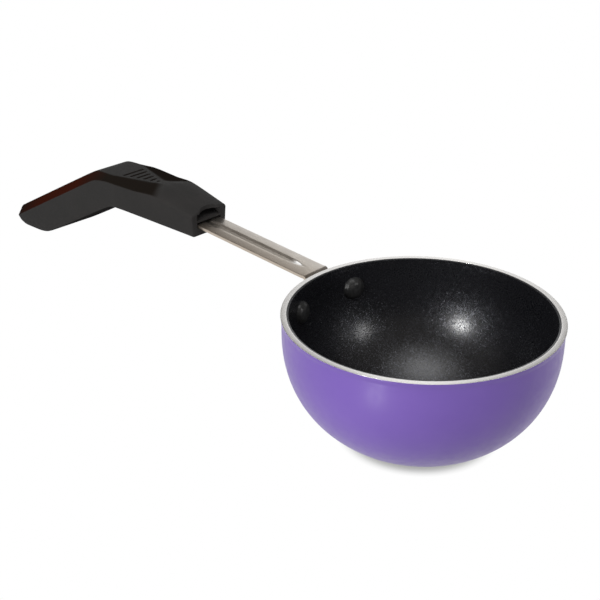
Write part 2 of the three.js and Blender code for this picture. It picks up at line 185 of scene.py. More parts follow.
def cut(piece, tool):
    """Takes the tool's shape out of a piece. The tool is used up."""
    step = piece.modifiers.new("cut", "BOOLEAN")
    step.operation = "DIFFERENCE"
    step.solver = "EXACT"
    step.object = tool
    settle(piece)
    bpy.data.objects.remove(tool)


def bar(radius, low, high, place, sides=48):
    """A round bar along z of a placement, between two heights in mm."""
    shape = turned([(0, low), (radius, low), (radius, high), (0, high)], sides)
    bmesh.ops.transform(shape, matrix=place, verts=shape.verts)
    return made("bar", shape)


rivet_height = 46.1
rivet_turn = math.radians(18.15)
rivet_sides = {"left": 1, "right": -1}
rivet_hole = 2.65
drill_from = 40.0
drill_to = 80.0


def rivet_place(side):
    """Placement at a rivet: z points out from the bowl's axis and y up."""
    turn = rivet_turn * side
    out = Vector((math.cos(turn), math.sin(turn), 0))
    up = Vector((0, 0, 1))
    across = up.cross(out)
    place = Matrix((across, up, out)).transposed().to_4x4()
    place.translation = Vector((0, 0, rivet_height * mm))
    return place


def drill(piece):
    """Makes the two rivet holes in a piece."""
    for side in rivet_sides.values():
        cut(piece, bar(rivet_hole, drill_from, drill_to, rivet_place(side)))


base = [(0.0, mark_depth), (dimple_flat, mark_depth), (dimple_edge, 0.0)]
for mark in turning_marks:
    base += [(mark - mark_half, 0.0), (mark - mark_half / 2, mark_depth)]
    base += [(mark + mark_half / 2, mark_depth), (mark + mark_half, 0.0)]
lip = [(lip_radius - lip_edge, lip_low)]
lip += [(lip_radius - lip_corner, lip_low), (lip_radius, lip_low + lip_corner)]
lip_middle = (lip_radius + lip_inside) / 2
lip_half = lip_radius - lip_middle
for step in range(lip_steps + 1):
    turn = math.pi * step / lip_steps
    drop = lip_edge * (1 - math.sin(turn) ** lip_fullness)
    lip.append((lip_middle + lip_half * math.cos(turn), bowl_height - drop))
inner = wall_line(-sheet, sheet, bowl_height - lip_edge - lip_corner)
outline = base + wall_line(0, 0, lip_low) + lip + inner[::-1] + [(0, sheet)]
bowl = made("bowl_shell", turned(outline, bowl_sides))
drill(bowl)
smooth(bowl)


def finish(name):
    """A new material and its main shader."""
    material = bpy.data.materials.new(name)
    material.use_nodes = True
    return material, material.node_tree.nodes["Principled BSDF"]


def node(material, kind, **settings):
    """A node of a material, with its sockets and settings."""
    new = material.node_tree.nodes.new("ShaderNode" + kind)
    for key, value in settings.items():
        if key in new.inputs:
            new.inputs[key].default_value = value
        else:
            setattr(new, key, value)
    return new


def link(material, source, target):
    """Leads one socket of a material into another."""
    material.node_tree.links.new(source, target)


def place_of(material, stretch=(1, 1, 1)):
    """Places on the piece in metres, stretched along its axes."""
    where = node(material, "TexCoord")
    fitted = node(material, "Mapping", Scale=stretch)
    link(material, where.outputs["Object"], fitted.inputs["Vector"])
    return fitted.outputs["Vector"]


def grain(material, where, scale, detail=3.0):
    """Fine unevenness, about 0.5 on average."""
    noise = node(material, "TexNoise", Scale=scale, Detail=detail)
    link(material, where, noise.inputs["Vector"])
    return noise.outputs["Fac"]


def graded(material, source, target, stops):
    """Colours or levels along a value, into a socket."""
    ramp = node(material, "ValToRGB")
    while len(ramp.color_ramp.elements) < len(stops):
        ramp.color_ramp.elements.new(0.5)
    for element, (position, colour) in zip(ramp.color_ramp.elements, stops):
        element.position = position
        element.color = colour if isinstance(colour, tuple) else (colour, colour, colour, 1)
    link(material, source, ramp.inputs["Fac"])
    link(material, ramp.outputs["Color"], target)


def relief(material, shader, height, depth, strength=1.0):
    """Bump of a depth in metres."""
    bump = node(material, "Bump", Strength=strength, Distance=depth)
    link(material, height, bump.inputs["Height"])
    link(material, bump.outputs["Normal"], shader.inputs["Normal"])


def dress(piece, material):
    """Gives a piece one finish all over."""
    piece.data.materials.clear()
    piece.data.materials.append(material)


bare_aluminium, shader = finish("bare_aluminium")
shader.inputs["Metallic"].default_value = 1.0
where = place_of(bare_aluminium)
rings = node(
    bare_aluminium, "TexWave", wave_type="RINGS", rings_direction="Z",
    Scale=900.0, Distortion=1.5, Detail=2.0,
)
link(bare_aluminium, where, rings.inputs["Vector"])
cloud = grain(bare_aluminium, where, 160.0)
graded(bare_aluminium, cloud, shader.inputs["Base Color"], [
    (0.3, (0.88, 0.86, 0.84, 1)),
    (0.7, (0.95, 0.94, 0.92, 1)),
])
graded(bare_aluminium, cloud, shader.inputs["Roughness"], [(0.3, 0.24), (0.7, 0.28)])
shader.inputs["Anisotropic"].default_value = 0.9
shader.inputs["Anisotropic Rotation"].default_value = 0.25
round_axis = node(bare_aluminium, "Tangent", direction_type="RADIAL", axis="Z")
link(bare_aluminium, round_axis.outputs["Tangent"], shader.inputs["Tangent"])
relief(bare_aluminium, shader, rings.outputs["Fac"], 0.00002, 0.12)
dress(bowl, bare_aluminium)
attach(bowl, "root")
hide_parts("bowl")

# Violet coat
# Enamel sprayed on the outside and baked, from just under the lip to the edge of the underside.
# It has a soft gloss and the faint orange peel of a sprayed coat.
coat_in = 0.05
coat_out = 0.35
coat_low = 0.4
coat_high = 57.58
coat_round = 0.15
coat_edge = 0.2
coat_inner_gap = 0.02
outer = wall_line(coat_out, coat_low, coat_high - coat_round)
coat_radius = outer[-1][0]
top_edge = rounded_corner(outer[-1], (coat_radius, coat_high), (coat_radius - coat_edge, coat_high))
inner = wall_line(coat_in, coat_low, coat_high - coat_inner_gap)
violet_coat = made("violet_coat", turned(outer + top_edge[1:] + inner[::-1], bowl_sides))
drill(violet_coat)
smooth(violet_coat)

violet_enamel, shader = finish("violet_enamel")
where = place_of(violet_enamel)
graded(violet_enamel, grain(violet_enamel, where, 45.0), shader.inputs["Base Color"], [
    (0.3, (0.172, 0.096, 0.420, 1)),
    (0.7, (0.186, 0.105, 0.440, 1)),
])
gloss = grain(violet_enamel, where, 300.0)
graded(violet_enamel, gloss, shader.inputs["Roughness"], [(0.3, 0.34), (0.7, 0.42)])
relief(violet_enamel, shader, grain(violet_enamel, where, 900.0, 2.0), 0.00004, 0.35)
shader.inputs["Specular IOR Level"].default_value = 0.4
dress(violet_coat, violet_enamel)
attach(violet_coat, "root")
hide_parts("outer_paint")

# Non-stick lining
# A dark coat sprayed on the inside and baked, from the floor up to the lip, whose inner edge it laps.
# Fine metal flakes in it catch the light as small sparkles.
lining_out = 2.35
lining_in = 2.65
lining_high = 57.73
lining_build = 0.3
lining_slope = 0.23
lap_thick = 0.025
lap_step = 0.1
lap_gap = 0.02
floor_round = 3.0
round_points = 8
flake_low = 0.68
flake_high = 0.72
flat_lean = 0.04
flake_lean = 0.34
outer = wall_line(-lining_out, lining_out, lining_high - lap_step)
outer += [(lip_inside - lap_gap, lining_high - lap_thick), (lip_inside - lap_gap, lining_high)]
inner = [
    (radius - lining_build * soft_step(height, flare_low, flare_high), height)
    for radius, height in wall_line(-lining_in, lining_in, lining_high - lining_slope)
]
floor_edge = rounded_corner((inner[0][0] - floor_round, lining_in), inner[0], inner[round_points])
outline = [(0, lining_out)] + outer + inner[:round_points:-1] + floor_edge[::-1] + [(0, lining_in)]
lining = made("nonstick_coat", turned(outline, bowl_sides))
drill(lining)
smooth(lining)


def ranged(material, value, low, high, first=0.0, last=1.0, rise="LINEAR"):
    """A value between low and high, turned to a level between first and last."""
    level = node(material, "MapRange", interpolation_type=rise)
    for socket, end in {"From Min": low, "From Max": high, "To Min": first, "To Max": last}.items():
        level.inputs[socket].default_value = end
    link(material, value, level.inputs["Value"])
    return level.outputs["Result"]


flaked_coat, shader = finish("flaked_coat")
where = place_of(flaked_coat)
flakes = node(flaked_coat, "TexVoronoi", Scale=4200.0)
link(flaked_coat, where, flakes.inputs["Vector"])
turned_flake = node(flaked_coat, "TexWhiteNoise")
link(flaked_coat, flakes.outputs["Color"], turned_flake.inputs["Vector"])
lean = node(flaked_coat, "VectorMath", operation="SUBTRACT")
lean.inputs[1].default_value = (0.5, 0.5, 0.5)
link(flaked_coat, turned_flake.outputs["Color"], lean.inputs[0])
bright = node(flaked_coat, "SeparateColor")
link(flaked_coat, flakes.outputs["Color"], bright.inputs["Color"])
share = ranged(flaked_coat, bright.outputs["Red"], flake_low, flake_high, flat_lean, flake_lean)
tilt = node(flaked_coat, "VectorMath", operation="SCALE")
link(flaked_coat, lean.outputs["Vector"], tilt.inputs[0])
link(flaked_coat, share, tilt.inputs["Scale"])
surface = node(flaked_coat, "NewGeometry")
facing = node(flaked_coat, "VectorMath", operation="ADD")
link(flaked_coat, surface.outputs["Normal"], facing.inputs[0])
link(flaked_coat, tilt.outputs["Vector"], facing.inputs[1])
even = node(flaked_coat, "VectorMath", operation="NORMALIZE")
link(flaked_coat, facing.outputs["Vector"], even.inputs[0])
link(flaked_coat, even.outputs["Vector"], shader.inputs["Normal"])
graded(flaked_coat, bright.outputs["Red"], shader.inputs["Base Color"], [
    (flake_low, (0.009, 0.009, 0.011, 1)),
    (flake_high, (0.10, 0.103, 0.114, 1)),
])
for socket, coat_level, flake_level in (("Roughness", 0.24, 0.33), ("Metallic", 0.0, 1.0)):
    graded(flaked_coat, bright.outputs["Red"], shader.inputs[socket], [
        (flake_low, coat_level),
        (flake_high, flake_level),
    ])
shader.inputs["Specular IOR Level"].default_value = 0.62
dress(lining, flaked_coat)
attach(lining, "root")
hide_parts("nonstick_lining")

# Steel strap
# A strip of steel sheet, 15 mm wide and 1.4 mm thick, with a long groove pressed into it to stiffen it.
# It is bent down sharply just outside the rim, and widens to a two-lobed flange that the two rivets
# hold on the bowl.
strap_half = 7.5
strap_thick = 1.4
strap_rise = math.radians(4)
strap_start = Vector((60.0, 0, 57.9))
strap_level_reach = 118.0
strap_end = strap_level_reach / math.cos(strap_rise)
strap_edge = 0.22
bend_radius = 2.4
bend_x = 62.5
flange_gap = 0.46
flange_lobe = 8.0
neck_half = 11.5
groove_first = 11.0
groove_half = 2.0
groove_level_reach = 90.0
groove_last = groove_level_reach / math.cos(strap_rise) - groove_half
groove_depth = 0.9
groove_round = 0.14
groove_floor = 1.2
groove_roll = 0.1
roll_wide = 0.6
roll_fade = 1.0
groove_ramp = 12.0
ramp_stretch = 7.0
strap_crown = 0.25
along = Vector((math.cos(strap_rise), 0, math.sin(strap_rise)))
square = Vector((-math.sin(strap_rise), 0, math.cos(strap_rise)))
bend_run = bend_x - bend_radius * math.sin(strap_rise) - strap_start.x
bend_top = strap_start.z + math.tan(strap_rise) * bend_run
bend_z = bend_top - bend_radius * math.cos(strap_rise)
groove_radius = (groove_half ** 2 + groove_depth ** 2) / (2 * groove_depth)
rivet_y = (curve_at(rivet_height) + flange_gap) * math.sin(rivet_turn)


def pressed_at(run, y):
    """Depth of the groove in the strap's upper face.

    It has a flat floor, steep sides, a rolled edge at the left and a long ramp at the bowl's end.
    """
    ramp = max(groove_first + groove_ramp - run, 0) / ramp_stretch
    past = ramp + max(run - groove_last, 0)
    away = math.hypot(past, y)
    beside = clamped(1 - (away - groove_half) / roll_wide)
    roll = groove_roll * beside * soft_step(y, -roll_fade, roll_fade)
    return roll + (groove_depth - groove_roll) * (1 - soft_step(away, groove_floor, groove_half))


def groove_at(run, y):
    """Depth of the bead that the groove makes in the strap's lower face."""
    past = run - min(max(run, groove_first), groove_last)
    away = math.hypot(past, y)
    depth = math.sqrt(max(groove_radius ** 2 - away ** 2, 0)) - groove_radius + groove_depth
    return (depth + math.hypot(depth, groove_round)) / 2


middle_columns = 16
middle_step = 0.022
side_columns = 8
side_step = 0.08
left_shares = [-1 + side_step * i for i in range(side_columns)]
middle_shares = [middle_step * i for i in range(-middle_columns, middle_columns + 1)]
right_shares = [1 - side_step * i for i in range(side_columns - 1, -1, -1)]
strap_shares = left_shares + middle_shares + right_shares


def flange_row(height, half):
    """A row across the flange, on the bowl's wall."""
    radius = wall_at(height) + flange_gap
    upright = soft_step(height, rivet_height + flange_lobe, bend_z)
    row = []
    for share in strap_shares:
        y = share * half
        x = math.sqrt(radius ** 2 - y ** 2)
        row.append(Vector((x + (bend_x - bend_radius - x) * upright, y, height)))
    return row


strap_rows = []
lobe_steps = 40
neck_steps = 8
bend_steps = 14
for step in range(lobe_steps + 1):
    turn = math.pi * step / lobe_steps
    strap_rows.append(flange_row(
        rivet_height - flange_lobe * math.cos(turn), rivet_y + flange_lobe * math.sin(turn)
    ))
neck_low = rivet_height + flange_lobe
for step in range(1, neck_steps + 1):
    turn = math.pi / 2 * step / neck_steps
    half = strap_half + (neck_half - strap_half) * (1 - math.sin(turn))
    strap_rows.append(flange_row(neck_low + (bend_z - neck_low) * (1 - math.cos(turn)), half))
for step in range(1, bend_steps + 1):
    turn = math.pi - (math.pi / 2 - strap_rise) * step / bend_steps
    spot = Vector((bend_x + bend_radius * math.cos(turn), 0, bend_z + bend_radius * math.sin(turn)))
    strap_rows.append([spot + Vector((0, strap_half * share, 0)) for share in strap_shares])

# Rows across the flat run, close together where the groove begins and where it ends
runs = [3.2, 4.5, 6.0, 7.5]
for first, pitch, rows in ((8.4, 0.15, 20), (11.6, 0.2, 8), (14.0, 2.0, 37), (groove_last, 0.25, 13)):
    runs += [first + pitch * i for i in range(rows)]
runs += [groove_last + 5, strap_end - 12, strap_end]
under_rows = list(strap_rows)
for run in runs:
    row, under_row = [], []
    for share in strap_shares:
        y = strap_half * share
        place = strap_start + along * run + Vector((0, y, 0)) - square * strap_crown * share ** 2
        row.append(place - square * pressed_at(run, y))
        under_row.append(place - square * groove_at(run, y))
    strap_rows.append(row)
    under_rows.append(under_row)


def sheet_metal(outer_rows, rows, thick):
    """A sheet whose outer face follows rows of points and whose inner face lies behind other rows."""
    last_row, last_column = len(rows) - 1, len(rows[0]) - 1
    shape = bmesh.new()
    front, back = [], []
    for i, row in enumerate(rows):
        front.append([shape.verts.new(point * mm) for point in outer_rows[i]])
        behind = []
        for j, point in enumerate(row):
            down = rows[min(i + 1, last_row)][j] - rows[max(i - 1, 0)][j]
            across = row[min(j + 1, last_column)] - row[max(j - 1, 0)]
            behind.append(shape.verts.new((point - down.cross(across).normalized() * thick) * mm))
        back.append(behind)
    for i in range(last_row):
        for j in range(last_column):
            shape.faces.new((front[i][j], front[i + 1][j], front[i + 1][j + 1], front[i][j + 1]))
            shape.faces.new((back[i][j], back[i][j + 1], back[i + 1][j + 1], back[i + 1][j]))
        for j in (0, last_column):
            shape.faces.new((front[i][j], back[i][j], back[i + 1][j], front[i + 1][j]))
    for i in (0, last_row):
        for j in range(last_column):
            shape.faces.new((front[i][j], front[i][j + 1], back[i][j + 1], back[i][j]))
    bmesh.ops.recalc_face_normals(shape, faces=shape.faces)
    return shape


def soften(piece, width, sharp=50, segments=2):
    """Breaks the sharp edges of a piece."""
    step = piece.modifiers.new("edges", "BEVEL")
    step.width = width * mm
    step.segments = segments
    step.limit_method = "ANGLE"
    step.angle_limit = math.radians(sharp)
    step.use_clamp_overlap = True
    settle(piece)


strap_place = Matrix((along, Vector((0, 1, 0)), square)).transposed().to_4x4()
strap_place.translation = strap_start * mm
screw_level_reach = 102.0
screw_run = screw_level_reach / math.cos(strap_rise)
screw_hole = 2.15
hole_half = 3.0
screw_place = strap_place @ Matrix.Translation((screw_run * mm, 0, 0))
strap = made("steel_strap", sheet_metal(strap_rows, under_rows, strap_thick))
soften(strap, strap_edge)
drill(strap)
cut(strap, bar(screw_hole, -hole_half, hole_half, screw_place))
smooth(strap, 40)

# Painted highlight: a near-white patch without metal on the ramp at the groove's bowl end, standing in for a
# glint
glint_runs = (groove_first + 3.0, groove_first + 6.0)
glint_depths = (0.03, 0.2)
upper_face = -1.2
painted_glint = strap.data.attributes.new("painted_glint", "FLOAT", "POINT")
for vertex in strap.data.vertices:
    from_start = vertex.co / mm - strap_start
    run, y, above = from_start.dot(along), vertex.co.y / mm, from_start.dot(square)
    sunk = pressed_at(run, y) / groove_depth
    on_ramp = 1 - soft_step(run, *glint_runs)
    painted_glint.data[vertex.index].value = on_ramp * soft_step(sunk, *glint_depths) * (above > upper_face)

brushed_steel, shader = finish("brushed_steel")
where = place_of(brushed_steel, (0.03, 1, 1))
lines = grain(brushed_steel, where, 2600.0, 2.0)
patch = grain(brushed_steel, place_of(brushed_steel, (0.3, 1, 1)), 120.0)
sides = node(brushed_steel, "SeparateXYZ")
link(brushed_steel, place_of(brushed_steel), sides.inputs["Vector"])
# Painted shade: the strap is painted darker and warmer towards its +y edge and lighter towards the other,
# mixed with random patches
painted_side_shade = ranged(brushed_steel, sides.outputs["Y"], -strap_half * mm, strap_half * mm, -0.2, 0.8)
patches_and_painted_shade = node(brushed_steel, "Math", operation="MULTIPLY_ADD")
patches_and_painted_shade.inputs[1].default_value = 0.4
link(brushed_steel, patch, patches_and_painted_shade.inputs[0])
link(brushed_steel, painted_side_shade, patches_and_painted_shade.inputs[2])
skin = node(brushed_steel, "Mix", data_type="RGBA")
graded(brushed_steel, patches_and_painted_shade.outputs["Value"], skin.inputs["A"], [
    (0.0, (0.67, 0.625, 0.575, 1)),
    (0.5, (0.61, 0.555, 0.49, 1)),
    (1.0, (0.50, 0.43, 0.36, 1)),
])
# The painted highlight's colour: near white and not metal where the glint mask is 1
skin.inputs["B"].default_value = (0.97, 0.96, 0.94, 1)
glint_mask = node(brushed_steel, "Attribute", attribute_name="painted_glint")
link(brushed_steel, glint_mask.outputs["Fac"], skin.inputs["Factor"])
graded(brushed_steel, glint_mask.outputs["Fac"], shader.inputs["Metallic"], [(0.0, 1.0), (1.0, 0.0)])
link(brushed_steel, skin.outputs["Result"], shader.inputs["Base Color"])
graded(brushed_steel, lines, shader.inputs["Roughness"], [(0.3, 0.26), (0.7, 0.40)])
relief(brushed_steel, shader, lines, 0.00003, 0.5)
dress(strap, brushed_steel)
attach(strap, "root")
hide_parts("handle_strap")

# Rivets
# Two aluminium rivets through the bowl and the flange. The domed heads inside wear a dark coat like the
# lining's. The tails outside are set to low buttons on the flange and stay bare.
head_radius = 5.5
head_high = 3.1
tail_radius = 4.2
tail_high = 1.3
dome_share = 0.75
shank_radius = 2.5
rivet_steps = 12
rivet_facets = 64
foot_sink = 0.02
foot_near = 1e-3
end_near = 1.0
coat_ends = 1.6
bare_from = 1.4
lining_face = curve_at(rivet_height) - lining_in
flange_face = curve_at(rivet_height) + flange_gap + strap_thick


def dome(radius, high):
    """Rings of a set rivet end from its foot to its crown, as (radius, depth under the crown)."""
    deep = radius * dome_share
    first = 1 - math.sqrt(high / deep)
    steps = [first + (1 - first) * step / rivet_steps for step in range(rivet_steps + 1)]
    return [(radius * (1 - t * t), deep * (1 - t) ** 2) for t in steps]


def bowl_face(across, up, out):
    """Distance along a rivet's axis to the wall moved outwards, beside the axis."""
    return math.sqrt((wall_at(rivet_height + up) + out) ** 2 - across ** 2)


def rivet(side):
    """The mesh of a rivet, with the feet of its two ends laid on the bowl and on the flange."""
    head = [(radius, lining_face - head_high + deep) for radius, deep in dome(head_radius, head_high)]
    tail = [(radius, flange_face + tail_high - deep) for radius, deep in dome(tail_radius, tail_high)]
    rings = head[::-1] + [(shank_radius, lining_face), (shank_radius, flange_face)] + tail
    shape = turned(rings, rivet_facets)
    for vertex in shape.verts:
        across, up = vertex.co.x / mm, vertex.co.y / mm
        away = math.hypot(across, up)
        if abs(away - head[0][0]) < foot_near and vertex.co.z < (lining_face + end_near) * mm:
            vertex.co.z = (bowl_face(across, up, -lining_in) + foot_sink) * mm
        if abs(away - tail[0][0]) < foot_near and vertex.co.z > (flange_face - end_near) * mm:
            vertex.co.z = (bowl_face(across, up, flange_gap + strap_thick) - foot_sink) * mm
    bmesh.ops.transform(shape, matrix=rivet_place(side), verts=shape.verts)
    return shape


rivet_coat, shader = finish("rivet_coat")
where = place_of(rivet_coat)
from_axis = node(rivet_coat, "VectorMath", operation="LENGTH")
link(rivet_coat, place_of(rivet_coat, (1, 1, 0)), from_axis.inputs[0])
outside = ranged(
    rivet_coat, from_axis.outputs["Value"], (flange_face - coat_ends) * mm, (flange_face - bare_from) * mm
)
skin = node(rivet_coat, "Mix", data_type="RGBA")
graded(rivet_coat, grain(rivet_coat, where, 700.0), skin.inputs["A"], [
    (0.3, (0.018, 0.018, 0.018, 1)),
    (0.7, (0.030, 0.030, 0.030, 1)),
])
skin.inputs["B"].default_value = (0.77, 0.76, 0.74, 1)
link(rivet_coat, outside, skin.inputs["Factor"])
link(rivet_coat, skin.outputs["Result"], shader.inputs["Base Color"])
link(rivet_coat, outside, shader.inputs["Metallic"])
graded(rivet_coat, grain(rivet_coat, where, 1500.0), shader.inputs["Roughness"], [(0.3, 0.28), (0.7, 0.4)])
relief(rivet_coat, shader, grain(rivet_coat, where, 420.0, 2.0), 0.0006, 0.8)
shader.inputs["Specular IOR Level"].default_value = 0.45
for name, side in rivet_sides.items():
    piece = made("rivet_" + name + "_set", rivet(side))
    dress(piece, rivet_coat)
    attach(piece, "root")
    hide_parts("rivet_" + name)

# Grip
# Black resin moulded in one piece that takes the strap's end, bent down at its middle. The sides and the
# ribbed thumb rest have a satin skin and the underside is dull. The long bevels beside the thumb rest and
# the grooves between its ribs carry painted shade: a darker colour without gloss, reddish brown along the
# rear arm.
# The mouth is cored over a thin web.
mouth_x = 132.0
grip_end = 279.1
grip_under = 56.93
grip_top = 74.08
foot_z = 25.63
foot_round = 2.7
elbow_x = 190.8
elbow_round = 3.0
peak_x = 205.4
peak_round = 2.5
fall = math.tan(math.radians(28.3))
under_fall = math.tan(math.radians(28.6))
under_rise = math.tan(math.radians(2.1))
front_fall = math.tan(math.radians(11.9))
front_turn = 159.0
front_round = 5.0
crown_high = 1.35
crown_lean = 0.75
crown_ends = (163.0, 169.5)
crown_fall = (157.0, 175.0)
crease_high = 0.9
crease_drop = 3.6
crease_from = 164.0
crease_length = 36.0
crease_lead = 4.5
thumb_tip = 167.0
thumb_wide = 193.5
thumb_tip_half = 2.4
thumb_growth = 7.8
mouth_half = 11.6
side_growth = 3.9
growth_length = 54.0
rear_taper = 0.8
side_lean = 1.0
bevel_least = 1.5
bevel_share = 0.12
end_radius = 4.0
foot_length = 11.0
end_half = 14.7
end_corner = 4.0
nose_x = grip_end - end_radius
nose_z = grip_top - fall * (nose_x - peak_x) - end_radius * math.hypot(1, fall)


def ease(run, rounding):
    """A rounded corner between two runs: near 0 before it, then rising one for one."""
    return (run + math.hypot(run, rounding)) / 2


def crown_at(x, y):
    """Share of the crown beside the grip's middle, 1 at the mouth and 0 at the thumb rest."""
    return 1 - soft_step(x + crown_lean * y, *crown_ends)


def front_at(x):
    """Height of the top over the front arm, without its crown."""
    return grip_top - front_fall * ease(front_turn - x, front_round)


def flat_at(x):
    """Half the width of the flat top, which is the thumb rest over the bend."""
    return thumb_tip_half + thumb_growth * clamped((x - thumb_tip) / (thumb_wide - thumb_tip))


def top_at(x):
    """Height of the flat top."""
    crown = 1 - soft_step(x + crown_lean * flat_at(x), *crown_fall)
    return front_at(x) + crown_high * crown - fall * ease(x - peak_x, peak_round)


def crease_at(x):
    """Height of the edge between a side and the bevel over it."""
    drop = crease_drop * clamped((x - crease_from) / crease_length)
    return front_at(x) + crease_high - drop - fall * ease(x - peak_x + crease_lead, peak_round)


def under_at(x):
    """Height of the underside."""
    past = ease(x - elbow_x, elbow_round)
    slope = grip_under + under_rise * (x - mouth_x - past) - under_fall * past
    return foot_z + ease(slope - foot_z, foot_round)


def half_at(x):
    """Half the grip's width."""
    growth = side_growth * clamped((x - mouth_x) / growth_length)
    return mouth_half + growth - rear_taper * clamped((x - peak_x) / (grip_end - peak_x))


def on_line(a, b):
    """A straight line from a to b."""
    return lambda t: (a[0] + (b[0] - a[0]) * t, a[1] + (b[1] - a[1]) * t)


def on_arch(a, middle, b):
    """A smooth curve from a to b that passes through a point half way."""
    pull = [2 * m - (p + q) / 2 for p, m, q in zip(a, middle, b)]
    return lambda t: tuple(
        (1 - t) ** 2 * p + 2 * t * (1 - t) * c + t ** 2 * q for p, c, q in zip(a, pull, b)
    )


def grip_corners(x):
    """Corners of the section's right half as (y, z): lower edge, crease and edge of the flat top."""
    low, high, half = under_at(x), top_at(x), half_at(x)
    if x > grip_end - foot_length:
        share = (x - grip_end + foot_length) / foot_length
        low = max(low, nose_z - (nose_z - foot_z) * math.sqrt(1 - share ** 2))
    if x > nose_x:
        high = min(high, nose_z + math.sqrt(end_radius ** 2 - (x - nose_x) ** 2))
    if x > grip_end - end_corner:
        past = x - grip_end + end_corner
        half = min(half, end_half - end_corner + math.sqrt(end_corner ** 2 - past ** 2))
    crease = min(crease_at(x), high - bevel_share * (high - low))
    return (half - side_lean, low), (half, crease), (min(flat_at(x), half - bevel_least), high)


arch_rise = 0.25
plain_rounds = (1.4, 0.45, 0.8)
crown_rounds = (0.0, 0.75, 1.2)
round_share = 0.4
side_steps = (5, 7, 9, 4)
corner_steps = 5


def grip_section(x):
    """Right half of the section as (y, z) points, from the middle of the underside to the top's."""
    foot, edge, brow = grip_corners(x)
    middle = (edge[0] + brow[0]) / 2
    crown = crown_at(x, middle)
    arch = (middle, edge[1] + (brow[1] - edge[1]) * (0.5 + arch_rise * crown))
    sides = [
        on_line((0, foot[1]), foot),
        on_line(foot, edge),
        on_arch(edge, arch, brow),
        on_line(brow, (0, brow[1])),
    ]
    lengths = [foot[0], math.dist(foot, edge), math.dist(edge, brow), brow[0]]
    rounds = [plain + more * crown for plain, more in zip(plain_rounds, crown_rounds)]
    reach = [min(r, round_share * lengths[i], round_share * lengths[i + 1]) for i, r in enumerate(rounds)]
    points = []
    for i, (side, steps) in enumerate(zip(sides, side_steps)):
        start = reach[i - 1] / lengths[i] if i else 0
        stop = 1 - reach[i] / lengths[i] if i < len(reach) else 1
        points += [side(start + (stop - start) * step / steps) for step in range(steps + 1)]
        if i < len(reach):
            following = sides[i + 1](reach[i] / lengths[i + 1])
            points += rounded_corner(points[-1], side(1), following, corner_steps)[1:-1]
    return points


def whole_section(x, inset):
    """The section round once, drawn in by a distance from its outline."""
    right = grip_section(x)
    loop = right + [(-y, z) for y, z in right[-2:0:-1]]
    drawn = []
    for i, (y, z) in enumerate(loop):
        before, after = loop[i - 1], loop[(i + 1) % len(loop)]
        run, rise = after[0] - before[0], after[1] - before[1]
        length = math.hypot(run, rise)
        drawn.append((x, y - inset * rise / length, z + inset * run / length))
    return drawn


mouth_round = 0.8
mouth_steps = 6
tip_steps = 26
stations = []
for step in range(mouth_steps):
    turn = math.pi / 2 * step / mouth_steps
    stations.append((mouth_x + mouth_round * (1 - math.cos(turn)), mouth_round * (1 - math.sin(turn))))
body_from, body_to = mouth_x + mouth_round, grip_end - foot_length
body_steps = 150
stations += [(body_from + (body_to - body_from) * step / body_steps, 0) for step in range(body_steps)]
for step in range(tip_steps):
    turn = math.pi / 2 * (1 - step / tip_steps)
    stations.append((grip_end - foot_length * (1 - math.cos(turn)), 0))

shape = bmesh.new()
loops = [[shape.verts.new(Vector(point) * mm) for point in whole_section(x, inset)] for x, inset in stations]
count = len(loops[0])
for i in range(len(loops) - 1):
    for j in range(count):
        k = (j + 1) % count
        shape.faces.new((loops[i][j], loops[i][k], loops[i + 1][k], loops[i + 1][j]))
shape.faces.new(loops[0])
shape.faces.new(loops[-1])
bmesh.ops.recalc_face_normals(shape, faces=shape.faces)
grip = made("moulded_grip", shape)


def block(low, high, place):
    """A box between two corners in mm, as a cutter."""
    shape = bmesh.new()
    bmesh.ops.create_cube(shape, size=1.0)
    for vertex in shape.verts:
        vertex.co = Vector([(low[i] if vertex.co[i] < 0 else high[i]) * mm for i in range(3)])
    bmesh.ops.transform(shape, matrix=place, verts=shape.verts)
    return made("block", shape)


def capsule(radius, half, place, sides=24, steps=8):
    """A round-ended bar along z of a placement, half long to each side before its round ends."""
    outline = [(0, -half - radius)]
    for step in range(1, steps + 1):
        turn = math.pi / 2 * step / steps
        outline.append((radius * math.sin(turn), -half - radius * math.cos(turn)))
    for step in range(steps):
        turn = math.pi / 2 * step / steps
        outline.append((radius * math.cos(turn), half + radius * math.sin(turn)))
    outline.append((0, half + radius))
    shape = turned(outline, sides)
    bmesh.ops.transform(shape, matrix=place, verts=shape.verts)
    return made("capsule", shape)


# The mouth's slot for the strap, and the hollow over the web
slot_gap = 0.3
slot_half = strap_half + slot_gap
slot_low = -1.7
mouth_level_reach = 72.0
mouth_run = mouth_level_reach / math.cos(strap_rise)
hollow_reach = 20.0
hollow_high = 3.2
web_low = 1.0
web_high = 1.9
cut_from = mouth_run - hollow_reach
cut(grip, block(
    (cut_from, -slot_half, slot_low),
    (strap_end + slot_gap, slot_half, web_low),
    strap_place,
))
cut(grip, block(
    (cut_from, -slot_half, web_high),
    (mouth_run + hollow_reach, slot_half, web_high + hollow_high),
    strap_place,
))

